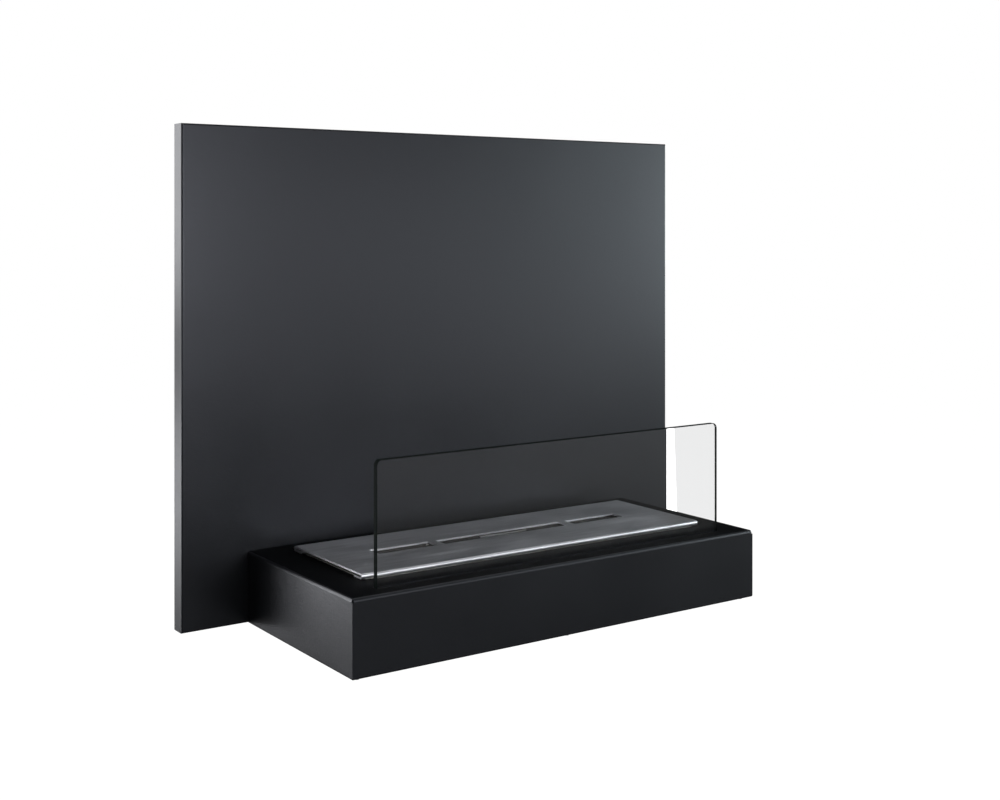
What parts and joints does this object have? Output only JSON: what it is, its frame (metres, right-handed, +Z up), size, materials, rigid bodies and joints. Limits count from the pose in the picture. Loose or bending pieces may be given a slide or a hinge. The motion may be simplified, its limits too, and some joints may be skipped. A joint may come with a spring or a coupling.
{
  "type": "bioethanol fireplace",
  "caption": "Wall-hung bioethanol fireplace: folded back panel, box shelf, slotted steel burner lid with a sliding shutter, and a glass guard along the front.",
  "frame": {"origin": "centre of the wall rail's four screw holes, on the wall plane", "axes": "+X to the viewer's right along the wall, +Y into the wall, +Z up"},
  "size_m": [0.9, 0.317, 0.7041],
  "materials": {
    "black_steel": "black wrinkle powder coat on folded steel",
    "zinc_steel": "zinc-plated steel",
    "stainless": "brushed stainless steel",
    "tank_steel": "plain stainless steel",
    "glass": "clear tempered glass with ground edges",
    "seal_rubber": "black silicone strip",
    "bumper_rubber": "black rubber",
    "wool": "white ceramic fibre mat"
  },
  "bodies": {
    "wall": {"wall_rail": "zinc_steel"},
    "fireplace": {"back_panel": "black_steel", "hanging_rail": "black_steel", "panel_stiffener_left": "black_steel", "panel_stiffener_right": "black_steel", "backing_plate": "black_steel", "wall_bumpers": "bumper_rubber", "shelf_casing": "black_steel", "shelf_gusset_left": "black_steel", "shelf_gusset_right": "black_steel", "shelf_bolts": "zinc_steel", "shelf_washers": "zinc_steel", "shelf_nuts": "zinc_steel", "bottom_cover": "black_steel", "cover_screws": "zinc_steel", "cover_rivet_nuts": "zinc_steel", "glass_channel": "tank_steel", "glass_gasket": "seal_rubber", "burner_well": "tank_steel"},
    "glass": {"glass_pane": "glass"},
    "burner": {"burner_tank": "tank_steel", "ceramic_wool": "wool", "wool_cage": "tank_steel"},
    "lid": {"burner_lid": "stainless", "lid_locator_left": "tank_steel", "lid_locator_right": "tank_steel", "shutter_guide_left": "tank_steel", "shutter_guide_right": "tank_steel"},
    "shutter": {"shutter_plate": "stainless", "shutter_grip": "stainless"}
  },
  "joints": [
    {"name": "fireplace_lift", "type": "slide", "parent": "wall", "child": "fireplace", "axis": [0, 0, 1], "range_m": [0, 0.02]},
    {"name": "glass_lift", "type": "slide", "parent": "fireplace", "child": "glass", "axis": [0, 0, 1], "range_m": [0, 0.06]},
    {"name": "burner_lift", "type": "slide", "parent": "fireplace", "child": "burner", "axis": [0, 0, 1], "range_m": [0, 0.1]},
    {"name": "lid_lift", "type": "slide", "parent": "burner", "child": "lid", "axis": [0, 0, 1], "range_m": [0, 0.05]},
    {"name": "shutter_slide", "type": "slide", "parent": "lid", "child": "shutter", "axis": [0, 1, 0], "range_m": [0, 0.0103]}
  ]
}
